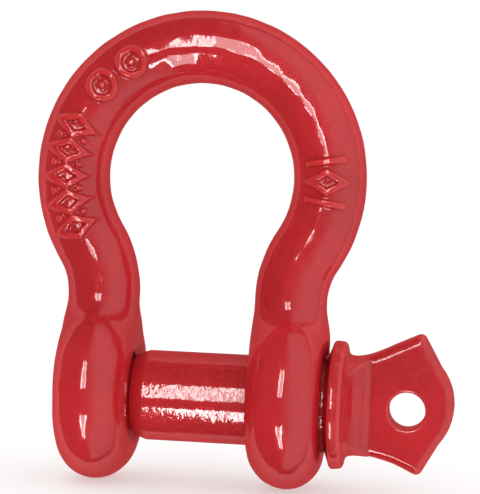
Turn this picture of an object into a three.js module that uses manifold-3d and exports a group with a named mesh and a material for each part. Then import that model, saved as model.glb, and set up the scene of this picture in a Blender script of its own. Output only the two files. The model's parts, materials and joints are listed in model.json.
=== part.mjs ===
// Screw-pin bow shackle, half-inch size: a forged bow with two ears, and a forged pin that screws into one.
// Millimetres, +Z up, the pin along X, the eye of the pin at +X and the threaded ear at -X.
// The origin is the crown's inner seat, midway between the ears, where the shackle hangs on a hook.
import * as THREE from "three";
import { mergeVertices } from "three/addons/utils/BufferGeometryUtils.js";
import Module from "manifold-3d";

const wasm = await Module();
wasm.setup();

// ---- Driving dimensions -------------------------------------------------------------------------

// Bow
const INSIDE_LENGTH = 47.8; // crown's inner seat to the top of the pin
const CROWN_INSIDE_RADIUS = 16.6;
const BOW_STOCK = 12.9; // diameter of the round bar that the bow is forged from
const LIMB_RISE = 18; // the limbs are straight up to this height above the pin's axis
const LIMB_INSET = 0.1; // the ears' inner faces stand this far in from the limbs' inner sides

// Ears
const EAR_GAP = 20.6; // clear space between the two ears
const EAR_THICKNESS = 13.2;
const EAR_DIAMETER = 30.8;
const EAR_OUTER_ROUNDING = 6.2; // radius of the rim on the outside of an ear
const EAR_INNER_ROUNDING = 5.6; // radius of the rim on the side that faces the other ear
const PLAIN_BORE_CLEARANCE = 0.55; // radial, round the pin in the plain ear
const BORE_CHAMFER = 0.4;

// Pin
const PIN_DIAMETER = 16;
const SHOULDER_LENGTH = 2.2; // of the cone at the threaded ear's inner face
const SHOULDER_DROP = 0.8; // how much the cone takes off the pin's radius
const THREAD_STEP = 0.3; // the thread's crests lie this far below the pin's surface
const THREAD_PITCH = 25.4 / 11;
const THREAD_CLEARANCE = 0.3; // radial, between the two threads
const RELIEF_LENGTH = 2.4; // plain groove between the pin's shoulder and the thread
const RELIEF_STEP = 0.1; // the groove is this much deeper than the thread
const TIP_RECESS = 0.2; // the pin ends this far inside the outer face of the threaded ear
const TIP_INSET = 0.25; // the flat of the tip is this much smaller, in radius, than the thread's root

// Collar, neck and eye of the pin
const COLLAR_GAP = 0.5; // between the plain ear and the cone behind the collar
const COLLAR_CONE = 0.8; // length of the cone behind the collar
const COLLAR_CONE_STEP = 0.3; // the cone's foot stands this far out from the neck's surface
const COLLAR_FLANGE = 2.75; // how far the collar stands out from the neck
const COLLAR_THICKNESS = 2.4;
const COLLAR_EDGE = 1.1; // radius of the collar's rim
const COLLAR_FILLET = 0.9; // radius between the collar and the neck
const RING_CLEARANCE = 0.3; // between the collar ring and the pin that turns in it
const NECK_STEP = 0.65; // the neck's surface stands this far out from the pin's
const NECK_LENGTH = 1; // round part of the neck, beyond the collar
const NECK_TAPER = 1.8; // length over which the round neck runs out into the flat eye
const EYE_WIDTH = 25.3; // across the two corners, before they are rounded
const EYE_CORNER_REACH = 15.7; // collar's inner face to the corners
const EYE_REACH = 21.5; // collar's inner face to the end of the eye
const EYE_CORNER_ROUNDING = 1.2; // length cut off each side of a corner
const EYE_FLARE_BEND = 1.6; // the sides bend outwards this far beyond the round part of the neck
const EYE_END_RADIUS = 10.4;
const EYE_END_ANGLE = THREE.MathUtils.degToRad(40); // half the angle that the end's arc spans
const EYE_RISE = 0.85; // the flat eye sits this much above the pin's axis, towards the crown
const EYE_ROOT_INSET = 0.2; // the eye's flat root lies this far inside the round neck
const EYE_THICKNESS = 5.2;
const EYE_BEVEL = 0.9;
const EYE_HOLE_DIAMETER = 6.45;
const EYE_HOLE_REACH = 13.3; // collar's inner face to the hole's centre
const EYE_HOLE_DROP = 0.2; // the hole's centre lies this far below the pin's axis

// Thread form, in shares of the pitch: a 60 degree thread with blunt crests and roots
const ROOT_FLAT = 1 / 4;
const CREST_FLAT = 1 / 8;
const FLANK = (1 - ROOT_FLAT - CREST_FLAT) / 2;

// Facets
const ROUND = 36; // segments round the ears, collar and pin
const STOCK_SEGMENTS = 20;
const STOCK_STEPS = 52;
const THREAD_SEGMENTS = 24;
const ARC_STEPS = 5; // segments in a quarter turn of a rounded edge
const FILLET_STEPS = 3;
const OUTLINE_STEPS = 12; // segments in each curve of the eye's outline
const BEVEL_STEPS = 2;
const WELD = 1e-4; // corners closer than this are one

// ---- Derived places -----------------------------------------------------------------------------

const PIN_RADIUS = PIN_DIAMETER / 2;
const PIN_Z = -(INSIDE_LENGTH + PIN_RADIUS);
const CROWN_RADIUS = CROWN_INSIDE_RADIUS + BOW_STOCK / 2; // of the crown's centreline
const EAR_INNER_X = EAR_GAP / 2;
const EAR_OUTER_X = EAR_INNER_X + EAR_THICKNESS;
const EAR_RADIUS = EAR_DIAMETER / 2;
const PLAIN_BORE_RADIUS = PIN_RADIUS + PLAIN_BORE_CLEARANCE;
const LIMB_X = EAR_INNER_X + LIMB_INSET + BOW_STOCK / 2;
const THREAD_DEPTH = THREAD_PITCH * FLANK * Math.sqrt(3);
const CREST_RADIUS = PIN_RADIUS - THREAD_STEP;
const ROOT_RADIUS = CREST_RADIUS - THREAD_DEPTH;
const THREAD_END_X = -(EAR_INNER_X + RELIEF_LENGTH);
const TIP_X = -(EAR_OUTER_X - TIP_RECESS);
const NECK_RADIUS = PIN_RADIUS + NECK_STEP;
const COLLAR_RADIUS = NECK_RADIUS + COLLAR_FLANGE;
const CONE_X = EAR_OUTER_X + COLLAR_GAP;
const COLLAR_X = CONE_X + COLLAR_CONE;
const RING_END_X = COLLAR_X + COLLAR_THICKNESS + COLLAR_FILLET;
const NECK_X = RING_END_X + RING_CLEARANCE;
const NECK_END_X = NECK_X + NECK_LENGTH;
const OVERRUN = 5; // how far a cutting tool passes the faces that it cuts

// ---- Helpers ------------------------------------------------------------------------------------

// A closed mesh as a solid that can be joined and cut.
function solid(geometry) {
  const bare = geometry.index ? geometry.toNonIndexed() : geometry.clone();
  bare.deleteAttribute("normal");
  bare.deleteAttribute("uv");
  const merged = mergeVertices(bare, WELD);
  return new wasm.Manifold(
    new wasm.Mesh({
      numProp: 3,
      vertProperties: merged.attributes.position.array,
      triVerts: new Uint32Array(merged.index.array),
    }),
  );
}

// A solid back as a mesh.
function geometryOf(made) {
  const mesh = made.getMesh();
  const geometry = new THREE.BufferGeometry();
  geometry.setAttribute("position", new THREE.BufferAttribute(mesh.vertProperties, 3));
  geometry.setIndex(new THREE.BufferAttribute(mesh.triVerts, 1));
  return geometry.toNonIndexed();
}

// A profile of [x, radius] points turned about the pin's axis, from low x to high x.
function turned(profile, segments = ROUND) {
  const points = profile.map(([x, radius]) => new THREE.Vector2(radius, x));
  const geometry = new THREE.LatheGeometry(points, segments);
  return solid(geometry.rotateZ(-Math.PI / 2).translate(0, 0, PIN_Z));
}

// The points of an arc, centre [cx, cy], from one angle to another in degrees.
function arc(cx, cy, radius, from, to, steps = ARC_STEPS) {
  return Array.from({ length: steps + 1 }, (_, i) => {
    const angle = THREE.MathUtils.degToRad(from + ((to - from) * i) / steps);
    return [cx + radius * Math.cos(angle), cy + radius * Math.sin(angle)];
  });
}

// ---- Bow ----------------------------------------------------------------------------------------

// A circular arc in the XZ plane.
class PlanarArc extends THREE.Curve {
  constructor(x, z, radius, from, to) {
    super();
    Object.assign(this, { x, z, radius, from, to });
  }

  getPoint(t, target = new THREE.Vector3()) {
    const angle = this.from + (this.to - this.from) * t;
    return target.set(
      this.x + this.radius * Math.cos(angle),
      0,
      this.z + this.radius * Math.sin(angle),
    );
  }
}

// The centreline of the bar: up the left limb, round the crown and down the right limb. Each limb curves
// outwards on an arc that touches both the straight limb and the crown's circle.
function barPath() {
  const crownZ = -CROWN_INSIDE_RADIUS;
  const bendZ = PIN_Z + LIMB_RISE;
  const rise = crownZ - bendZ;
  const bendRadius =
    (LIMB_X ** 2 + rise ** 2 - CROWN_RADIUS ** 2) / (2 * (CROWN_RADIUS - LIMB_X));
  const bendX = LIMB_X + bendRadius;
  const touch = Math.atan2(rise, bendX);
  // the limbs end inside the ears, halfway between the bores and the rims
  const endZ = PIN_Z + (PLAIN_BORE_RADIUS + EAR_RADIUS) / 2;
  const limb = (side) => [
    new THREE.Vector3(side * LIMB_X, 0, endZ),
    new THREE.Vector3(side * LIMB_X, 0, bendZ),
  ];
  const [leftEnd, leftBend] = limb(-1);
  const [rightEnd, rightBend] = limb(1);
  const path = new THREE.CurvePath();
  path.add(new THREE.LineCurve3(leftEnd, leftBend));
  path.add(new PlanarArc(-bendX, bendZ, bendRadius, 0, touch));
  path.add(new PlanarArc(0, crownZ, CROWN_RADIUS, Math.PI + touch, -touch));
  path.add(new PlanarArc(bendX, bendZ, bendRadius, Math.PI - touch, Math.PI));
  path.add(new THREE.LineCurve3(rightBend, rightEnd));
  return path;
}

function bar() {
  const section = new THREE.Shape();
  section.absarc(0, 0, BOW_STOCK / 2, 0, 2 * Math.PI);
  const geometry = new THREE.ExtrudeGeometry(section, {
    extrudePath: barPath(),
    steps: STOCK_STEPS,
    curveSegments: STOCK_SEGMENTS / 2, // a full circle gets two points for each
    bevelEnabled: false,
  });
  return solid(geometry);
}

// One ear without its bore: a thick disc with a rounded rim. side is -1 for the threaded ear.
function ear(side) {
  const outer = EAR_OUTER_ROUNDING;
  const inner = EAR_INNER_ROUNDING;
  const rim = [
    [EAR_INNER_X, 0],
    ...arc(EAR_INNER_X + inner, EAR_RADIUS - inner, inner, 180, 90),
    ...arc(EAR_OUTER_X - outer, EAR_RADIUS - outer, outer, 90, 0),
    [EAR_OUTER_X, 0],
  ];
  return turned(side > 0 ? rim : rim.map(([x, radius]) => [-x, radius]).reverse());
}

// The tool that cuts a bore through an ear, with a chamfer from the waist out to the mouth at each face.
function boreTool(side, waist, mouth) {
  const inner = EAR_INNER_X - OVERRUN;
  const outer = EAR_OUTER_X + OVERRUN;
  const slope = mouth - waist;
  const tool = [
    [inner, 0],
    [inner, mouth + OVERRUN],
    [EAR_INNER_X + slope, waist],
    [EAR_OUTER_X - slope, waist],
    [outer, mouth + OVERRUN],
    [outer, 0],
  ];
  return turned(side > 0 ? tool : tool.map(([x, r]) => [-x, r]).reverse());
}

// ---- Thread -------------------------------------------------------------------------------------

// A rod with a right-hand thread, its crest at the given radius, running past both from and to.
// Its corners follow the helix, so it fits itself after any turn with the matching travel.
function threadedRod(crest, from, to) {
  const root = crest - THREAD_DEPTH;
  const profile = [
    [0, root],
    [ROOT_FLAT, root],
    [ROOT_FLAT + FLANK, crest],
    [ROOT_FLAT + FLANK + CREST_FLAT, crest],
  ];
  // both ends lie a whole number of pitches from the axes' origin, so two rods of one thread are in step
  const first = Math.floor(from / THREAD_PITCH) - 1;
  const turns = Math.ceil(to / THREAD_PITCH) + 1 - first;
  const rows = turns * profile.length;
  const start = first * THREAD_PITCH;
  const corner = (column, row) => {
    const [along, radius] = profile[row % profile.length];
    const pitches = Math.floor(row / profile.length) + along + column / THREAD_SEGMENTS;
    const angle = (2 * Math.PI * column) / THREAD_SEGMENTS;
    return [
      start + pitches * THREAD_PITCH,
      radius * Math.cos(angle),
      PIN_Z + radius * Math.sin(angle),
    ];
  };
  const lowEnd = [start - THREAD_PITCH, 0, PIN_Z];
  const highEnd = [start + (turns + 2) * THREAD_PITCH, 0, PIN_Z];
  const corners = [];
  const add = (...points) => points.forEach((point) => corners.push(...point));
  for (let column = 0; column < THREAD_SEGMENTS; column += 1) {
    const next = column + 1;
    for (let row = 0; row < rows; row += 1) {
      const [a, b] = [corner(column, row), corner(next, row)];
      const [c, d] = [corner(next, row + 1), corner(column, row + 1)];
      add(a, b, c);
      add(a, c, d);
    }
    add(lowEnd, corner(next, 0), corner(column, 0));
    add(highEnd, corner(column, rows), corner(next, rows));
  }
  // after a full turn the helix has risen one pitch, and this step closes each end
  for (let row = 0; row < profile.length; row += 1) {
    add(lowEnd, corner(0, row), corner(0, row + 1));
    add(highEnd, corner(0, rows + row + 1), corner(0, rows + row));
  }
  const geometry = new THREE.BufferGeometry();
  geometry.setAttribute("position", new THREE.Float32BufferAttribute(corners, 3));
  return solid(geometry);
}

function bow() {
  const tapRadius = CREST_RADIUS + THREAD_CLEARANCE;
  const tap = threadedRod(tapRadius, -EAR_OUTER_X, -EAR_INNER_X);
  // the tap's core clears the middle of the threaded bore, so this tool only has to open its two mouths
  const core = tapRadius - THREAD_DEPTH - BORE_CHAMFER;
  return bar()
    .add(ear(-1))
    .add(ear(1))
    .subtract(boreTool(1, PLAIN_BORE_RADIUS, PLAIN_BORE_RADIUS + BORE_CHAMFER))
    .subtract(boreTool(-1, core, tapRadius + BORE_CHAMFER))
    .subtract(tap);
}

// ---- Pin ----------------------------------------------------------------------------------------

// The round parts: the groove behind the thread, the shank, and the neck that runs out into the eye.
function shankAndNeck() {
  const grooveX = THREAD_END_X - THREAD_DEPTH;
  const grooveRadius = ROOT_RADIUS - RELIEF_STEP;
  const shoulderX = -EAR_INNER_X;
  const runOutX = NECK_END_X + NECK_TAPER;
  return turned([
    [grooveX, 0],
    [grooveX, grooveRadius],
    [shoulderX, grooveRadius],
    [shoulderX, PIN_RADIUS - SHOULDER_DROP],
    [shoulderX + SHOULDER_LENGTH, PIN_RADIUS],
    [NECK_X, PIN_RADIUS],
    [NECK_X, NECK_RADIUS],
    [NECK_END_X, NECK_RADIUS],
    [runOutX, EYE_THICKNESS / 2],
    [runOutX, 0],
  ]);
}

// The threaded end, cut to length with both ends tapered.
function threadedEnd() {
  const flat = ROOT_RADIUS - TIP_INSET;
  const rim = CREST_RADIUS + TIP_INSET;
  const taper = rim - flat;
  const limits = turned([
    [TIP_X, 0],
    [TIP_X, flat],
    [TIP_X + taper, rim],
    [THREAD_END_X - taper, rim],
    [THREAD_END_X, flat],
    [THREAD_END_X, 0],
  ]);
  return threadedRod(CREST_RADIUS, TIP_X, THREAD_END_X).intersect(limits);
}

// The outline of the flat eye, in X and height above the pin's axis: it flares from the neck to two
// corners, and ends in an arc.
function eyeOutline() {
  const rootX = NECK_X + EYE_ROOT_INSET;
  const rootHalf = NECK_RADIUS - EYE_ROOT_INSET;
  const corner = new THREE.Vector2(COLLAR_X + EYE_CORNER_REACH, EYE_WIDTH / 2);
  const centreX = COLLAR_X + EYE_REACH - EYE_END_RADIUS;
  const arcEnd = new THREE.Vector2(
    centreX + EYE_END_RADIUS * Math.cos(EYE_END_ANGLE),
    EYE_END_RADIUS * Math.sin(EYE_END_ANGLE),
  );
  // the corner is rounded between a point on the flare and a point on the way to the arc
  const bend = new THREE.Vector2(NECK_END_X + EYE_FLARE_BEND, rootHalf);
  const beforeCorner = corner.clone().lerp(bend, EYE_CORNER_ROUNDING / corner.distanceTo(bend));
  const afterCorner = corner.clone().lerp(arcEnd, EYE_CORNER_ROUNDING / corner.distanceTo(arcEnd));
  const outline = new THREE.Shape();
  outline.moveTo(rootX, -rootHalf);
  outline.quadraticCurveTo(bend.x, -bend.y, beforeCorner.x, EYE_RISE - beforeCorner.y);
  outline.quadraticCurveTo(corner.x, EYE_RISE - corner.y, afterCorner.x, EYE_RISE - afterCorner.y);
  outline.lineTo(arcEnd.x, EYE_RISE - arcEnd.y);
  outline.absarc(centreX, EYE_RISE, EYE_END_RADIUS, -EYE_END_ANGLE, EYE_END_ANGLE);
  outline.lineTo(afterCorner.x, EYE_RISE + afterCorner.y);
  outline.quadraticCurveTo(corner.x, EYE_RISE + corner.y, beforeCorner.x, EYE_RISE + beforeCorner.y);
  outline.quadraticCurveTo(bend.x, bend.y, rootX, rootHalf);
  outline.closePath();
  return outline;
}

function eye() {
  const flat = EYE_THICKNESS - 2 * EYE_BEVEL;
  const geometry = new THREE.ExtrudeGeometry(eyeOutline(), {
    depth: flat,
    curveSegments: OUTLINE_STEPS,
    bevelThickness: EYE_BEVEL,
    bevelSize: EYE_BEVEL,
    bevelOffset: -EYE_BEVEL,
    bevelSegments: BEVEL_STEPS,
  });
  // the outline's second axis becomes Z, and the plate is centred on the pin's axis
  geometry.translate(0, 0, -flat / 2).rotateX(Math.PI / 2).translate(0, 0, PIN_Z);
  const drill = new THREE.CylinderGeometry(
    EYE_HOLE_DIAMETER / 2,
    EYE_HOLE_DIAMETER / 2,
    EYE_THICKNESS + 2 * OVERRUN,
    ROUND,
  );
  drill.translate(COLLAR_X + EYE_HOLE_REACH, 0, PIN_Z - EYE_HOLE_DROP);
  return solid(geometry).subtract(solid(drill));
}

function screwPin() {
  return shankAndNeck().add(threadedEnd()).add(eye());
}

// The collar as a ring round the pin, with the cone behind it and its fillet down to the neck.
function collarRing() {
  const inner = PIN_RADIUS + RING_CLEARANCE;
  const rim = COLLAR_RADIUS - COLLAR_EDGE;
  const face = COLLAR_X + COLLAR_THICKNESS;
  const foot = NECK_RADIUS + COLLAR_FILLET;
  return turned([
    [CONE_X, inner],
    [CONE_X, NECK_RADIUS + COLLAR_CONE_STEP],
    ...arc(COLLAR_X + COLLAR_EDGE, rim, COLLAR_EDGE, 180, 90, FILLET_STEPS),
    ...arc(face - COLLAR_EDGE, rim, COLLAR_EDGE, 90, 0, FILLET_STEPS),
    ...arc(RING_END_X, foot, COLLAR_FILLET, 180, 270, FILLET_STEPS),
    [RING_END_X, inner],
    [CONE_X, inner],
  ]);
}

// ---- The shackle --------------------------------------------------------------------------------

const redEnamel = new THREE.MeshStandardMaterial({
  color: 0xb8262f,
  roughness: 0.16,
  metalness: 0,
});

function part(name, made) {
  const mesh = new THREE.Mesh(geometryOf(made), redEnamel.clone());
  mesh.name = name;
  return mesh;
}

const shackle = new THREE.Group();
shackle.add(part("bow", bow()), part("screw_pin", screwPin()), part("pin_collar", collarRing()));

export default shackle;
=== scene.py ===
"""Screw-pin bow shackle in glossy red enamel, on a pale floor in a soft studio.

Both forgings are skins of closed-form fields: a field is negative inside the metal, and its
gradient gives the normals. Lengths are in metres, the pin lies along X, and the crown's inner seat
is the origin.
"""

import itertools
import json
import math

import bpy
import numpy as np
from mathutils import Matrix, Vector


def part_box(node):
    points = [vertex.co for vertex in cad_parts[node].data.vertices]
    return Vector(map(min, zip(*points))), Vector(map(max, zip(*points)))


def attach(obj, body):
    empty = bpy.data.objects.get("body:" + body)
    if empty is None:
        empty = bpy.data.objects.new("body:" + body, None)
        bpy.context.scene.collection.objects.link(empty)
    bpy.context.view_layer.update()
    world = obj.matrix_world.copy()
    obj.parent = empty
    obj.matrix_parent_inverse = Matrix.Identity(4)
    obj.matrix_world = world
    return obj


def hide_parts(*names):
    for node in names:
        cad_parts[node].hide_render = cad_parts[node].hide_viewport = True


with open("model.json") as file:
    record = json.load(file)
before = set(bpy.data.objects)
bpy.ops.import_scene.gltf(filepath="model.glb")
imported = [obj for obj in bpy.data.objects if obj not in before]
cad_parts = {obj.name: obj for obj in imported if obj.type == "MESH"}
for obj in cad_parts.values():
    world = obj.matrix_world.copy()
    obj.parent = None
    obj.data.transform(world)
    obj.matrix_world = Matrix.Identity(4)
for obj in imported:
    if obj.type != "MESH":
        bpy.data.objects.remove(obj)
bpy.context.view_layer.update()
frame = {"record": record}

MM = 0.001

# ---- Sizes that the frame gives -----------------------------------------------------------------

behaviour = frame["record"]["behaviour"]
turn_joint = next(j for j in behaviour["joints"] if j["name"] == "pin_turn")
turns_per_metre = behaviour["couplings"][0]["ratio"] / (2 * math.pi)
THREAD_PITCH = 1 / turns_per_metre
PIN_Z = turn_joint["pos_m"][2]
BOW_LOW, BOW_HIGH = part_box("bow")
COLLAR_LOW, COLLAR_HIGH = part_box("pin_collar")
PIN_LOW, PIN_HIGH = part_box("screw_pin")
mounts = {m["name"]: m for m in frame["record"]["mounts"]}
EAR_INNER_X = mounts["plain_ear_face"]["pos_m"][0]
STOCK_RADIUS = BOW_HIGH.z / 2
EAR_RADIUS = PIN_Z - BOW_LOW.z
CROWN_RADIUS = BOW_HIGH.x - STOCK_RADIUS
CROWN_Z = -(CROWN_RADIUS - STOCK_RADIUS)
COLLAR_RADIUS = (COLLAR_HIGH.z - COLLAR_LOW.z) / 2
TIP_X = PIN_LOW.x
EYE_END_X = PIN_HIGH.x

# ---- Sizes of the forgings ----------------------------------------------------------------------

COLLAR_GAP = 0.5 * MM
COLLAR_CONE = 0.8 * MM
EAR_OUTER_X = COLLAR_LOW.x - COLLAR_GAP
COLLAR_X = COLLAR_LOW.x + COLLAR_CONE
EAR_OUTER_ROUNDING = 6.2 * MM
EAR_INNER_ROUNDING = 6.95 * MM
EAR_LIFT = 1.7 * MM  # the ears are this much longer towards the crown
EAR_BLEND = 2.6 * MM
LIMB_RISE = 18 * MM
LIMB_INSET = 0.1 * MM  # of the limbs from the ears' inner faces
LIMB_X = EAR_INNER_X + LIMB_INSET + STOCK_RADIUS
PIN_RADIUS = 8 * MM
PLAIN_BORE_RADIUS = 8.55 * MM
BORE_ROUNDING = 0.7 * MM
THREAD_RADIUS = 7.7 * MM
THREAD_CLEARANCE = 0.3 * MM
ROOT_FLAT, CREST_FLAT = 1 / 4, 1 / 8  # shares of the pitch
FLANK = (1 - ROOT_FLAT - CREST_FLAT) / 2
THREAD_DEPTH = THREAD_PITCH * FLANK * math.sqrt(3)
ROOT_RADIUS = THREAD_RADIUS - THREAD_DEPTH
TAP_RADIUS = THREAD_RADIUS + THREAD_CLEARANCE
SHOULDER_LENGTH = 2.2 * MM
SHOULDER_FOOT = 7.2 * MM
SHOULDER_BLEND = 0.3 * MM
RELIEF_LENGTH = 2.4 * MM
COLLAR_THICKNESS = 2.4 * MM
COLLAR_ROUNDING = 0.7 * MM
COLLAR_DRAFT = math.tan(math.radians(5.5))
COLLAR_BLEND = 2.0 * MM
NECK_RADIUS = 8.65 * MM
NECK_END_X = COLLAR_X + 6.4 * MM
NECK_SLOPE = 1.15  # depth lost for each length of the neck's two flats
NECK_CREASE = 0.5 * MM
NECK_BLEND = 0.8 * MM
COLLAR_CONE_FOOT = 8.6 * MM
EYE_HALF_THICKNESS = 2.6 * MM
EYE_ROUNDING = 1.6 * MM
EYE_RISE = 0.85 * MM
EYE_CORNER = (COLLAR_X + 15.7 * MM, 12.65 * MM)
EYE_CORNER_ROUNDING = 1.2 * MM
EYE_ROOT_X = NECK_END_X - 3 * MM
EYE_ROOT_HALF = NECK_RADIUS - 0.2 * MM
EYE_BEND_X = NECK_END_X + 0.7 * MM
EYE_RISE_LENGTH = 8 * MM  # the eye reaches its full rise over this length
EYE_END_RADIUS = 10.4 * MM
EYE_END_ANGLE = math.radians(40)
EYE_HOLE = (COLLAR_X + 13.3 * MM, -0.2 * MM)
EYE_HOLE_RADIUS = 3.225 * MM
EYE_HOLE_ROUNDING = 0.5 * MM
FLARE_STEPS, CORNER_STEPS, END_STEPS = 8, 5, 6

BOW_CELL = 0.34 * MM
PIN_CELL = 0.3 * MM

# ---- Fields -------------------------------------------------------------------------------------


def smooth_union(a, b, width):
    """a and b as one, with a fillet that reaches over the given difference between them."""
    mix = np.clip(0.5 + 0.5 * (b - a) / width, 0, 1)
    return b + (a - b) * mix - width * mix * (1 - mix)


def smooth_cut(a, tool, width):
    """a with tool taken out of it."""
    return -smooth_union(-a, tool, width)


def rounded_box(u, v, half_u, half_v, rounding):
    """Distance in a plane to a box with rounded corners."""
    out_u = np.abs(u) - (half_u - rounding)
    out_v = np.abs(v) - (half_v - rounding)
    outside = np.hypot(np.maximum(out_u, 0), np.maximum(out_v, 0))
    return outside + np.minimum(np.maximum(out_u, out_v), 0) - rounding


def ear_profile(side, from_axis):
    """Distance to an ear's disc, whose rim is rounder on the side that faces the other ear."""
    split = EAR_INNER_X + EAR_INNER_ROUNDING
    inner = side < split
    rounding = np.where(inner, EAR_INNER_ROUNDING, EAR_OUTER_ROUNDING)
    out_x = np.where(inner, split - side, side - (EAR_OUTER_X - EAR_OUTER_ROUNDING))
    out_r = from_axis - (EAR_RADIUS - rounding)
    outside = np.hypot(np.maximum(out_x, 0), np.maximum(out_r, 0))
    return outside + np.minimum(np.maximum(out_x, out_r), 0) - rounding


def polygon(u, v, points):
    """Signed distance in a plane to a closed outline."""
    nearest = np.full(u.shape, np.inf)
    inside = np.zeros(u.shape, bool)
    for (u0, v0), (u1, v1) in zip(points, points[1:] + points[:1]):
        du, dv = u1 - u0, v1 - v0
        along = np.clip(((u - u0) * du + (v - v0) * dv) / (du * du + dv * dv), 0, 1)
        nearest = np.minimum(
            nearest, (u - u0 - along * du) ** 2 + (v - v0 - along * dv) ** 2
        )
        crosses = (v0 > v) != (v1 > v)
        inside ^= crosses & (u < u0 + (v - v0) * du / (dv if dv else 1))
    return np.where(inside, -1, 1) * np.sqrt(nearest)


def bend_arc():
    """The arc that takes a straight limb out to the crown's circle: centre x, centre z, radius."""
    bend_z = PIN_Z + LIMB_RISE
    rise = CROWN_Z - bend_z
    radius = (LIMB_X**2 + rise**2 - CROWN_RADIUS**2) / (2 * (CROWN_RADIUS - LIMB_X))
    return LIMB_X + radius, bend_z, radius


BEND_X, BEND_Z, BEND_RADIUS = bend_arc()
TOUCH_ANGLE = math.atan2(CROWN_Z - BEND_Z, BEND_X)
CROWN_ARC = CROWN_RADIUS * (math.pi / 2 + TOUCH_ANGLE)


def bar_place(x, z):
    """Where a point lies on the bar: the way along it from the crown's top, and the way out."""
    side = np.abs(x)
    to_bend_x, to_bend_z = BEND_X - side, z - BEND_Z
    crown_angle = np.arctan2(side, z - CROWN_Z)
    crown_out = np.hypot(side, z - CROWN_Z) - CROWN_RADIUS
    bend_angle = np.arctan2(to_bend_z, to_bend_x)
    bend_out = BEND_RADIUS - np.hypot(to_bend_x, to_bend_z)
    on_crown = crown_angle <= math.pi / 2 + TOUCH_ANGLE
    on_limb = ~on_crown & (z < BEND_Z)
    out = np.where(on_crown, crown_out, np.where(on_limb, side - LIMB_X, bend_out))
    along = np.where(
        on_crown,
        crown_angle * CROWN_RADIUS,
        CROWN_ARC + (TOUCH_ANGLE - bend_angle) * BEND_RADIUS,
    )
    return along, out


# ---- Raised forging marks: rings, lozenges, dots and bars, which say nothing --------------------

MARK_HEIGHT = 0.6 * MM
MARK_HALF_WIDTH = 0.32 * MM
MARK_SLOPE = 0.5 * MM
MARK_FADE = 3  # the marks are full where the bar's front is a third of its radius out
RING_PLACES = (12.6 * MM, 19.2 * MM)
RING_RADIUS = 2.3 * MM
CHAIN_FROM, CHAIN_STEP, CHAIN_COUNT = 27.6 * MM, 4.6 * MM, 5
LOZENGE_LENGTH, LOZENGE_WIDTH = 1.75 * MM, 3.0 * MM  # half of each
DOT_OUT = 2.2 * MM
RIGHT_PLACE = 36.2 * MM
BAR_OFFSET = 3.6 * MM


def bar_mark(along, out, start, end):
    """Distance to a straight stroke, each end given as the way along and the way out."""
    du, dv = end[0] - start[0], end[1] - start[1]
    share = np.clip(
        ((along - start[0]) * du + (out - start[1]) * dv) / (du * du + dv * dv), 0, 1
    )
    return np.hypot(along - start[0] - share * du, out - start[1] - share * dv)


def lozenge_mark(along, out, place):
    """Distance to a lozenge drawn round a place."""
    side = np.abs(along - place) / LOZENGE_LENGTH + np.abs(out) / LOZENGE_WIDTH - 1
    return np.abs(side) / math.hypot(1 / LOZENGE_LENGTH, 1 / LOZENGE_WIDTH)


def left_marks(along, out):
    nearest = np.full(along.shape, 1.0)
    for place in RING_PLACES:
        from_centre = np.hypot(along - place, out)
        nearest = np.minimum(nearest, np.abs(from_centre - RING_RADIUS))
        nearest = np.minimum(nearest, from_centre)
    for i in range(CHAIN_COUNT):
        place = CHAIN_FROM + i * CHAIN_STEP
        nearest = np.minimum(nearest, lozenge_mark(along, out, place))
        between = place + CHAIN_STEP / 2
        if i < CHAIN_COUNT - 1:
            dots = np.hypot(along - between, np.abs(out) - DOT_OUT)
            nearest = np.minimum(nearest, dots)
    return nearest


def right_marks(along, out):
    nearest = lozenge_mark(along, out, RIGHT_PLACE)
    for side in (-1, 1):
        place = RIGHT_PLACE + side * BAR_OFFSET
        bar = bar_mark(along, out, (place, -LOZENGE_WIDTH), (place, LOZENGE_WIDTH))
        nearest = np.minimum(nearest, bar)
    return nearest


def marks(x, y, along, out):
    """How far the marks stand out of the bar."""
    stroke = np.where(x < 0, left_marks(along, out), right_marks(along, out))
    fade = np.clip((stroke - MARK_HALF_WIDTH) / MARK_SLOPE, 0, 1)
    height = 0.5 + 0.5 * np.cos(math.pi * fade)
    front = np.clip(-y / STOCK_RADIUS * MARK_FADE, 0, 1)
    return MARK_HEIGHT * height * front


# ---- Bow ----------------------------------------------------------------------------------------

WAVE_LENGTH = 6 * MM
WAVE_DEPTH = 0.05 * MM
WAVE_SHIFT = 1.7
# the direction of each wave, across, up and deep
WAVES = (
    (0.9, 0.5, 0.2),
    (-0.6, 1.1, 0.5),
    (1.4, -0.4, 0.9),
    (0.3, 0.7, -1.3),
    (-1.2, -0.9, 0.4),
)


def thread_radius(x, y, z, crest):
    """The right-hand thread's radius over a point, with blunt crests and roots."""
    angle = np.arctan2(z - PIN_Z, y) / (2 * math.pi)
    phase = (x / THREAD_PITCH - angle) % 1
    middle = ROOT_FLAT + FLANK + CREST_FLAT / 2
    share = 1 - (np.abs(phase - middle) - CREST_FLAT / 2) / FLANK
    return crest - THREAD_DEPTH * (1 - np.clip(share, 0, 1))


def waviness(x, y, z):
    """The uneven skin of a forging under its enamel."""
    total = 0.0
    for turn, (across, up, deep) in enumerate(WAVES):
        phase = (across * x + up * z + deep * y) / WAVE_LENGTH * 2 * math.pi
        total = total + np.sin(phase + WAVE_SHIFT * turn)
    return WAVE_DEPTH * total / len(WAVES)


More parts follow.
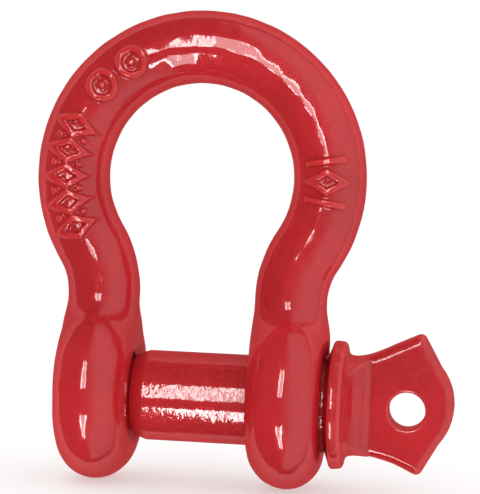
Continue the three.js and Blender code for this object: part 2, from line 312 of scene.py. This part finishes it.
def bow_field(x, y, z):
    """The bow: a bar with two ears, one with a plain bore and one with a thread."""
    along, out = bar_place(x, z)
    bar = np.hypot(out, y) - STOCK_RADIUS - marks(x, y, along, out)
    bar = np.maximum(bar, PIN_Z - z)
    from_axis = np.hypot(y, z - PIN_Z)
    ear_x = np.abs(x) - (EAR_INNER_X + EAR_OUTER_X) / 2
    ear_half = (EAR_OUTER_X - EAR_INNER_X) / 2
    above = z - PIN_Z
    lifted = above - np.clip(above, 0, EAR_LIFT)
    ear = ear_profile(np.abs(x), np.hypot(y, lifted))
    blank = smooth_union(bar, ear, EAR_BLEND) + WAVE_DEPTH + waviness(x, y, z)
    # the blend never closes the gap between the ears
    blank = np.maximum(blank, EAR_INNER_X - np.abs(x) - np.maximum(z - BEND_Z, 0))
    plain = from_axis - PLAIN_BORE_RADIUS
    tapped = from_axis - thread_radius(x, y, z, TAP_RADIUS)
    mouth = np.abs(ear_x) - (ear_half - BORE_ROUNDING)
    tapped = np.minimum(tapped, from_axis - TAP_RADIUS - mouth)
    bore = np.where(x > 0, plain, tapped)
    return smooth_cut(blank, bore, BORE_ROUNDING)


# ---- Pin ----------------------------------------------------------------------------------------


def quadratic(start, control, end, steps):
    """Points on a quadratic curve, without its start."""
    shares = [(i + 1) / steps for i in range(steps)]
    return [
        tuple(
            (1 - s) ** 2 * a + 2 * s * (1 - s) * b + s * s * c
            for a, b, c in zip(start, control, end)
        )
        for s in shares
    ]


def eye_outline():
    """The flat eye's outline, in X and height above the pin's axis."""
    root = (EYE_ROOT_X, EYE_ROOT_HALF)
    bend = (EYE_BEND_X, EYE_ROOT_HALF)
    centre_x = EYE_END_X - EYE_END_RADIUS
    arc = [
        (
            centre_x + EYE_END_RADIUS * math.cos(EYE_END_ANGLE * (1 - i / END_STEPS)),
            EYE_END_RADIUS * math.sin(EYE_END_ANGLE * (1 - i / END_STEPS)),
        )
        for i in range(END_STEPS + 1)
    ]
    corner = Vector(EYE_CORNER)
    before = corner + (Vector(bend) - corner).normalized() * EYE_CORNER_ROUNDING
    after = corner + (Vector(arc[0]) - corner).normalized() * EYE_CORNER_ROUNDING
    half = [root]
    half += quadratic(root, bend, tuple(before), FLARE_STEPS)
    half += quadratic(tuple(before), tuple(corner), tuple(after), CORNER_STEPS)
    half += arc

    def rise(u):
        return EYE_RISE * min(1, (u - EYE_ROOT_X) / EYE_RISE_LENGTH)

    top = [(u, v + rise(u)) for u, v in half]
    low = [(u, -v + rise(u)) for u, v in half[:-1]]
    return top + low[::-1]


EYE_OUTLINE = eye_outline()


def shank_and_thread(x, y, z, from_axis):
    """The round shank, and the thread behind its shoulder and its relief groove."""
    shoulder_x = -EAR_INNER_X
    shank_end = COLLAR_X + COLLAR_THICKNESS / 2
    slope = (PIN_RADIUS - SHOULDER_FOOT) / SHOULDER_LENGTH
    radius = SHOULDER_FOOT + np.clip(x - shoulder_x, 0, SHOULDER_LENGTH) * slope
    shank = np.maximum(from_axis - radius, np.maximum(shoulder_x - x, x - shank_end))
    thread = from_axis - thread_radius(x, y, z, THREAD_RADIUS)
    tip_cone = from_axis - ROOT_RADIUS - (x - TIP_X)
    thread = np.maximum(np.maximum(thread, tip_cone), TIP_X - x)
    thread = np.maximum(thread, x - shoulder_x + RELIEF_LENGTH)
    # the groove's core also runs on inside the thread, so that the two are one
    core_from = shoulder_x - 2 * RELIEF_LENGTH
    relief = np.maximum(from_axis - ROOT_RADIUS, np.maximum(core_from - x, x - shoulder_x))
    thread = np.minimum(thread, relief)
    return smooth_union(shank, thread, SHOULDER_BLEND)


def collar_and_neck(x, y, from_axis):
    """The collar with its cone on the ear's side, and the neck on the eye's side."""
    collar_x = x - COLLAR_X - COLLAR_THICKNESS / 2
    drafted = from_axis + (x - COLLAR_X) * COLLAR_DRAFT
    collar = rounded_box(
        collar_x, drafted, COLLAR_THICKNESS / 2, COLLAR_RADIUS, COLLAR_ROUNDING
    )
    neck = np.maximum(from_axis - NECK_RADIUS, x - NECK_END_X)
    # the neck runs out into the eye on two slanted flats
    flats = np.abs(y) - EYE_HALF_THICKNESS - (NECK_END_X - x) * NECK_SLOPE
    neck = smooth_cut(neck, -flats / math.hypot(1, NECK_SLOPE), NECK_CREASE)
    neck = np.maximum(neck, COLLAR_X + COLLAR_THICKNESS / 2 - x)
    head = smooth_union(collar, neck, COLLAR_BLEND)
    head = np.maximum(head, COLLAR_X - x)
    cone_slope = (COLLAR_RADIUS - COLLAR_ROUNDING - COLLAR_CONE_FOOT) / COLLAR_CONE
    cone_radius = COLLAR_CONE_FOOT + np.clip(x - COLLAR_LOW.x, 0, COLLAR_CONE) * cone_slope
    cone = (from_axis - cone_radius) / math.hypot(1, cone_slope)
    cone = np.maximum(cone, np.maximum(COLLAR_LOW.x - x, x - COLLAR_X - COLLAR_ROUNDING))
    return np.minimum(head, cone)


def pin_field(x, y, z):
    """The screw pin, with its collar and its flat eye."""
    height = z - PIN_Z
    from_axis = np.hypot(y, height)
    pin = shank_and_thread(x, y, z, from_axis)
    head = collar_and_neck(x, y, from_axis)
    out = polygon(x, height, EYE_OUTLINE) + EYE_ROUNDING
    deep = np.abs(y) - (EYE_HALF_THICKNESS - EYE_ROUNDING)
    edge = np.hypot(np.maximum(out, 0), np.maximum(deep, 0))
    eye = edge + np.minimum(np.maximum(out, deep), 0) - EYE_ROUNDING
    head = smooth_union(head, eye, NECK_BLEND)
    hole = np.hypot(x - EYE_HOLE[0], height - EYE_HOLE[1]) - EYE_HOLE_RADIUS
    head = smooth_cut(head, hole, EYE_HOLE_ROUNDING)
    return np.minimum(pin, head)


# ---- From a field to a mesh ---------------------------------------------------------------------

GRID_MARGIN = 3  # cells round the box
PROJECTIONS = 4
PROJECTION_REACH = 0.75  # of a cell, for each projection
LEAST_SLOPE = 0.2
PROJECTION_STEP, NORMAL_STEP, EDGE_STEP = 0.02 * MM, 0.06 * MM, 0.5 * MM
EDGE_LIMIT = 2


def cell_edges():
    """The twelve edges of a grid cell, each as its two corners."""
    edges = []
    for axis in range(3):
        first, second = (other for other in range(3) if other != axis)
        for far, near in itertools.product((0, 1), repeat=2):
            start = [0, 0, 0]
            start[first], start[second] = near, far
            end = start.copy()
            end[axis] = 1
            edges.append((tuple(start), tuple(end)))
    return edges


def gradient(field, points, step):
    """The field at the points, its gradient there and its Laplacian."""
    x, y, z = points.T
    here = field(x, y, z)
    slopes, total = [], -6 * here
    for dx, dy, dz in np.eye(3) * step:
        high = field(x + dx, y + dy, z + dz)
        low = field(x - dx, y - dy, z - dz)
        slopes.append((high - low) / (2 * step))
        total = total + high + low
    return here, np.stack(slopes, 1), total / step**2


def surface(field, low, high, cell):
    """Vertices and quads on the field's zero surface, one vertex for each cell that it crosses."""
    margin = GRID_MARGIN * cell
    axes = [np.arange(a - margin, b + margin, cell) for a, b in zip(low, high)]
    grid = np.stack(
        [
            field(*np.meshgrid([x], axes[1], axes[2], indexing="ij"))[0]
            for x in axes[0]
        ]
    )
    inside = grid < 0
    cells = tuple(n - 1 for n in grid.shape)

    def corner(values, offset):
        return values[tuple(slice(o, o + n) for o, n in zip(offset, cells))]

    crossed = np.zeros(cells, np.int32)
    middle = np.zeros(cells + (3,), np.float32)
    for start, end in cell_edges():
        a, b = corner(grid, start), corner(grid, end)
        hit = (a < 0) != (b < 0)
        share = np.where(hit, a / np.where(hit, a - b, 1), 0)
        crossed += hit
        for axis in range(3):
            place = start[axis] + share * (end[axis] - start[axis])
            middle[..., axis] += np.where(hit, place, 0)
    where = np.argwhere(crossed > 0)
    index = np.full(cells, -1)
    index[tuple(where.T)] = np.arange(len(where))
    share = middle[tuple(where.T)] / crossed[tuple(where.T)][:, None]
    origin = np.array([axis[0] for axis in axes])
    points = origin + (where + share) * cell
    quads = []
    for axis in range(3):
        u, v = (axis + 1) % 3, (axis + 2) % 3
        ahead = np.take(inside, range(1, grid.shape[axis]), axis)
        behind = np.take(inside, range(grid.shape[axis] - 1), axis)
        for rising in (True, False):
            found = np.argwhere((behind & ~ahead) if rising else (ahead & ~behind))
            step_u, step_v = np.eye(3, dtype=int)[u], np.eye(3, dtype=int)[v]
            ring = [found, found - step_u, found - step_u - step_v, found - step_v]
            ring = ring if rising else ring[::-1]
            quads.append(np.stack([index[tuple(r.T)] for r in ring], 1))
    return points, np.concatenate(quads)


def skin(name, field, low, high, cell):
    """A mesh object on the field's zero surface, with the field's own normals and its curvature."""
    points, quads = surface(field, low, high, cell)
    reach = PROJECTION_REACH * cell
    for _ in range(PROJECTIONS):
        here, slope, _ = gradient(field, points, PROJECTION_STEP)
        push = here / np.maximum((slope**2).sum(1), LEAST_SLOPE)
        move = slope * push[:, None]
        size = np.maximum(np.linalg.norm(move, axis=1), 1e-12)
        points = points - move * np.minimum(1, reach / size)[:, None]
    _, slope, _ = gradient(field, points, NORMAL_STEP)
    normals = slope / np.maximum(np.linalg.norm(slope, axis=1), 1e-9)[:, None]
    _, _, bend = gradient(field, points, EDGE_STEP)
    mesh = bpy.data.meshes.new(name)
    mesh.from_pydata(points.tolist(), [], quads.tolist())
    mesh.validate()
    mesh.shade_smooth()
    mesh.normals_split_custom_set_from_vertices(normals.tolist())
    # the curvature: the enamel is lighter on sharp edges, and darkened in the hollows as painted
    # shade
    edge = mesh.attributes.new("edge", "FLOAT", "POINT")
    edge_values = np.clip(bend * MM, -EDGE_LIMIT, EDGE_LIMIT).astype(np.float32)
    edge.data.foreach_set("value", edge_values)
    made = bpy.data.objects.new(name, mesh)
    bpy.context.collection.objects.link(made)
    return made


# ---- Enamel -------------------------------------------------------------------------------------


class Nodes:
    """A short way to write a node tree."""

    def __init__(self, tree):
        self.tree = tree
        tree.nodes.clear()

    def add(self, kind, inputs=None, **settings):
        node = self.tree.nodes.new(kind)
        for key, value in settings.items():
            setattr(node, key, value)
        for key, value in (inputs or {}).items():
            if isinstance(value, bpy.types.NodeSocket):
                self.tree.links.new(value, node.inputs[key])
            else:
                node.inputs[key].default_value = value
        return node

    def maths(self, operation, a, b=0.0, c=0.0, clamp=False):
        node = self.add(
            "ShaderNodeMath", {0: a, 1: b, 2: c}, operation=operation, use_clamp=clamp
        )
        return node.outputs[0]

    def ramp(self, value, low, high, to_low=0.0, to_high=1.0):
        node = self.add(
            "ShaderNodeMapRange",
            {
                "Value": value,
                "From Min": low,
                "From Max": high,
                "To Min": to_low,
                "To Max": to_high,
            },
            interpolation_type="SMOOTHSTEP",
        )
        return node.outputs["Result"]

    def noise(self, vector, scale, detail=2.0, roughness=0.5):
        node = self.add(
            "ShaderNodeTexNoise",
            {"Vector": vector, "Scale": scale, "Detail": detail, "Roughness": roughness},
        )
        return node.outputs["Fac"]


# ENAMEL_DEEP is the darker tone of the random clouds, and also the painted shade in the hollows
ENAMEL_DEEP = (0.44, 0.011, 0.016, 1)
ENAMEL_FULL = (0.55, 0.015, 0.022, 1)
ENAMEL_THIN = (0.64, 0.034, 0.032, 1)
# each pattern's scale, for a metre
CLOUDS, BLOTCHES, WAVES_UNDER, GLOSS, PEEL, GRAIN = 55, 1100, 150, 300, 900, 2200
GRAIN_SHARE = 0.25  # the grain's depth, as a share of the peel's


def colour_mix(nodes, share, a, b):
    """The colour that is a given share of b in a."""
    node = nodes.tree.nodes.new("ShaderNodeMix")
    node.data_type = "RGBA"
    sockets = {"Factor": node.inputs[0], "A": node.inputs[6], "B": node.inputs[7]}
    for key, value in (("Factor", share), ("A", a), ("B", b)):
        if isinstance(value, bpy.types.NodeSocket):
            nodes.tree.links.new(value, sockets[key])
        else:
            sockets[key].default_value = value
    return node.outputs[2]


def enamel(name, peel, wave, mottle):
    """Glossy red enamel. peel and wave are the depths of its orange peel and of the forging under
    it, and mottle is how blotchy its colour is."""
    material = bpy.data.materials.new(name)
    material.use_nodes = True
    nodes = Nodes(material.node_tree)
    place = nodes.add("ShaderNodeTexCoord").outputs["Object"]
    edge = nodes.add("ShaderNodeAttribute", attribute_name="edge").outputs["Fac"]

    clouds = nodes.noise(place, CLOUDS, 3)
    # lighter where the enamel is thin on the sharp edges, and darker in the hollows as painted
    # shade
    colour = colour_mix(nodes, nodes.ramp(clouds, 0.35, 0.65), ENAMEL_DEEP, ENAMEL_FULL)
    colour = colour_mix(nodes, nodes.ramp(edge, 0.5, 1.6, 0, 0.7), colour, ENAMEL_THIN)
    # painted shade: concave places are darkened towards ENAMEL_DEEP
    colour = colour_mix(nodes, nodes.ramp(edge, -0.25, -1.2, 0, 0.8), colour, ENAMEL_DEEP)

    blotches = nodes.noise(place, BLOTCHES, 3, 0.6)
    colour = colour_mix(
        nodes, nodes.ramp(blotches, 0.42, 0.62, 0, mottle), colour, ENAMEL_THIN
    )

    waves = nodes.noise(place, WAVES_UNDER, 1)
    ripple = nodes.noise(place, PEEL, 2)
    grain = nodes.noise(place, GRAIN, 1)
    wavy = nodes.add("ShaderNodeBump", {"Height": waves, "Distance": wave, "Strength": 1.0})
    peeled = nodes.add(
        "ShaderNodeBump",
        {"Height": ripple, "Distance": peel, "Strength": 1.0, "Normal": wavy.outputs[0]},
    )
    fine = nodes.add(
        "ShaderNodeBump",
        {
            "Height": grain,
            "Distance": peel * GRAIN_SHARE,
            "Strength": 1.0,
            "Normal": peeled.outputs[0],
        },
    )
    rough = nodes.ramp(nodes.noise(place, GLOSS, 3), 0.3, 0.7, 0.30, 0.40)
    shader = nodes.add(
        "ShaderNodeBsdfPrincipled",
        {
            "Base Color": colour,
            "Roughness": rough,
            "Specular IOR Level": 0.15,
            "Normal": wavy.outputs[0],
            "Coat Weight": 1.0,
            "Coat Roughness": 0.035,
            "Coat IOR": 1.5,
            "Coat Normal": fine.outputs[0],
        },
    )
    nodes.add("ShaderNodeOutputMaterial", {"Surface": shader.outputs[0]})
    return material


# ---- The two forgings ---------------------------------------------------------------------------

bow = skin("bow_forging", bow_field, BOW_LOW, BOW_HIGH, BOW_CELL)
bow.data.materials.append(enamel("bow_enamel", 0.02 * MM, 0.06 * MM, 0.15))
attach(bow, "bow")
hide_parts("bow")

pin_low = Vector((PIN_LOW.x, COLLAR_LOW.y, min(PIN_LOW.z, COLLAR_LOW.z)))
pin_high = Vector((PIN_HIGH.x, COLLAR_HIGH.y, max(PIN_HIGH.z, COLLAR_HIGH.z)))
pin = skin("screw_pin_forging", pin_field, pin_low, pin_high, PIN_CELL)
pin.data.materials.append(enamel("pin_enamel", 0.032 * MM, 0.05 * MM, 0.3))
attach(pin, "screw_pin")
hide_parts("screw_pin", "pin_collar")

# ---- Studio -------------------------------------------------------------------------------------

FLOOR_SIZE = 6.0
FLOOR_GAP = 0.1 * MM
FLOOR_GLOW = 0.47


def make_floor():
    """A pale floor just under the ears, which the enamel doesn't reflect."""
    mesh = bpy.data.meshes.new("floor")
    half = FLOOR_SIZE / 2
    z = BOW_LOW.z - FLOOR_GAP
    mesh.from_pydata(
        [(-half, -half, z), (half, -half, z), (half, half, z), (-half, half, z)],
        [],
        [(0, 1, 2, 3)],
    )
    floor = bpy.data.objects.new("floor", mesh)
    bpy.context.collection.objects.link(floor)
    floor.visible_glossy = False
    material = bpy.data.materials.new("floor_paint")
    material.use_nodes = True
    nodes = Nodes(material.node_tree)
    shader = nodes.add(
        "ShaderNodeBsdfPrincipled",
        {
            "Base Color": (0.55, 0.55, 0.55, 1),
            "Roughness": 0.9,
            "Specular IOR Level": 0.0,
            "Emission Color": (1, 1, 1, 1),
            "Emission Strength": FLOOR_GLOW,
        },
    )
    nodes.add("ShaderNodeOutputMaterial", {"Surface": shader.outputs[0]})
    mesh.materials.append(material)


VIEW_AZIMUTH = math.radians(8.05)
VIEW_ELEVATION = math.radians(2.75)
VIEW_ROLL = math.radians(2.06)
VIEW_DISTANCE = 0.3368
VIEW_TARGET = Vector((0.00739, 0, -0.02869))
LENS = 138.5

# Each strip light: azimuth from and to and elevation from and to, in degrees from the shackle, and
# the strength of its tubes
STRIPS = ((-12, 3, 0, 34, 13), (-12, 3, -57, -25, 24))
PANEL_LEVEL = 6.0
TUBE_INSET, TUBE_HALF_WIDTH = 1.6, 1.3
PANEL_SOFT, PANEL_END_SOFT, TUBE_SOFT = 0.8, 1.0, 0.6
RIGHT_LEVEL = 0.9
RIGHT_RISE, RIGHT_FALL = (-5, 40), (120, 100)
FRONT_LEVEL = 0.03
BESIDE_LEVEL, BEHIND_LEVEL = 1.35, 0.5
BESIDE_FROM, BESIDE_SOFT = -0.2, 0.04
WARM_FROM, WARM_TO = 0.6, -0.8
DIFFUSE_LOW, DIFFUSE_HIGH = 0.92, 1.05


# What the enamel's edges reflect from behind the shackle
BACK_TINT = (1.0, 0.16, 0.16, 1)


def window(nodes, value, low, high, soft):
    """1 between low and high and 0 outside them, with soft sides."""
    rise = nodes.ramp(value, low - soft, low + soft)
    fall = nodes.ramp(value, high - soft, high + soft, 1, 0)
    return nodes.maths("MULTIPLY", rise, fall)


def make_world():
    """White to the camera. The enamel reflects a dim front with two strip lights, a broad light on
    the right, and a red glow behind; everything else is lit evenly."""
    world = bpy.data.worlds.new("studio")
    bpy.context.scene.world = world
    world.use_nodes = True
    nodes = Nodes(world.node_tree)
    direction = nodes.add("ShaderNodeTexCoord").outputs["Generated"]
    parts = nodes.add("ShaderNodeSeparateXYZ", {0: direction})
    x, y, z = parts.outputs
    toward = Vector((math.sin(VIEW_AZIMUTH), -math.cos(VIEW_AZIMUTH), 0))
    facing = nodes.add(
        "ShaderNodeVectorMath", {0: direction, 1: toward}, operation="DOT_PRODUCT"
    ).outputs["Value"]
    degrees = 180 / math.pi
    azimuth = nodes.maths(
        "MULTIPLY", nodes.maths("ARCTAN2", x, nodes.maths("MULTIPLY", y, -1.0)), degrees
    )
    elevation = nodes.maths("MULTIPLY", nodes.maths("ARCSINE", z), degrees)

    # brightest beside the shackle and dimmer behind it, so that the enamel's edges stay red
    beside = nodes.ramp(facing, BESIDE_FROM, BESIDE_FROM - BESIDE_SOFT)
    behind = nodes.ramp(facing, BESIDE_FROM, -1.0, BESIDE_LEVEL, BEHIND_LEVEL)
    behind = nodes.maths("MULTIPLY", beside, behind)
    right = nodes.maths(
        "MULTIPLY", nodes.ramp(azimuth, *RIGHT_RISE), nodes.ramp(azimuth, *RIGHT_FALL)
    )
    level = nodes.maths("MULTIPLY_ADD", right, RIGHT_LEVEL, FRONT_LEVEL)
    level = nodes.maths("MAXIMUM", level, behind)
    for az_low, az_high, el_low, el_high, tubes in STRIPS:
        up = window(nodes, elevation, el_low, el_high, PANEL_END_SOFT)
        across = window(nodes, azimuth, az_low, az_high, PANEL_SOFT)
        panel = nodes.maths("MULTIPLY", across, up)
        level = nodes.maths("MULTIPLY_ADD", panel, PANEL_LEVEL, level)
        for tube in (az_low + TUBE_INSET, az_high - TUBE_INSET):
            line = window(
                nodes, azimuth, tube - TUBE_HALF_WIDTH, tube + TUBE_HALF_WIDTH, TUBE_SOFT
            )
            glow = nodes.maths("MULTIPLY", line, up)
            level = nodes.maths("MULTIPLY_ADD", glow, float(tubes), level)

    path = nodes.add("ShaderNodeLightPath")
    glossy, camera = path.outputs["Is Glossy Ray"], path.outputs["Is Camera Ray"]
    warm = nodes.maths("MULTIPLY", glossy, nodes.ramp(facing, WARM_FROM, WARM_TO))
    colour = colour_mix(nodes, warm, (1, 1, 1, 1), BACK_TINT)
    soft = nodes.ramp(z, -1, 1, DIFFUSE_LOW, DIFFUSE_HIGH)
    seen = nodes.maths("MULTIPLY_ADD", glossy, nodes.maths("SUBTRACT", level, soft), soft)
    strength = nodes.maths("MULTIPLY_ADD", camera, nodes.maths("SUBTRACT", 1.0, seen), seen)
    background = nodes.add(
        "ShaderNodeBackground", {"Color": colour, "Strength": strength}
    )
    nodes.add("ShaderNodeOutputWorld", {"Surface": background.outputs[0]})
    world.cycles.sampling_method = "NONE"


def make_camera():
    """The camera, level with the shackle, a little to its right and slightly rolled."""
    out = Vector(
        (
            math.sin(VIEW_AZIMUTH) * math.cos(VIEW_ELEVATION),
            -math.cos(VIEW_AZIMUTH) * math.cos(VIEW_ELEVATION),
            math.sin(VIEW_ELEVATION),
        )
    )
    level_right = Vector((math.cos(VIEW_AZIMUTH), math.sin(VIEW_AZIMUTH), 0))
    level_up = out.cross(level_right)
    right = level_right * math.cos(VIEW_ROLL) + level_up * math.sin(VIEW_ROLL)
    up = out.cross(right)
    turn = Matrix((right, up, out)).transposed().to_4x4()
    data = bpy.data.cameras.new("camera")
    data.lens = LENS
    camera = bpy.data.objects.new("camera", data)
    camera.matrix_world = Matrix.Translation(VIEW_TARGET + out * VIEW_DISTANCE) @ turn
    bpy.context.collection.objects.link(camera)
    bpy.context.scene.camera = camera


make_floor()
make_world()
make_camera()
bpy.context.scene.view_settings.view_transform = "Standard"
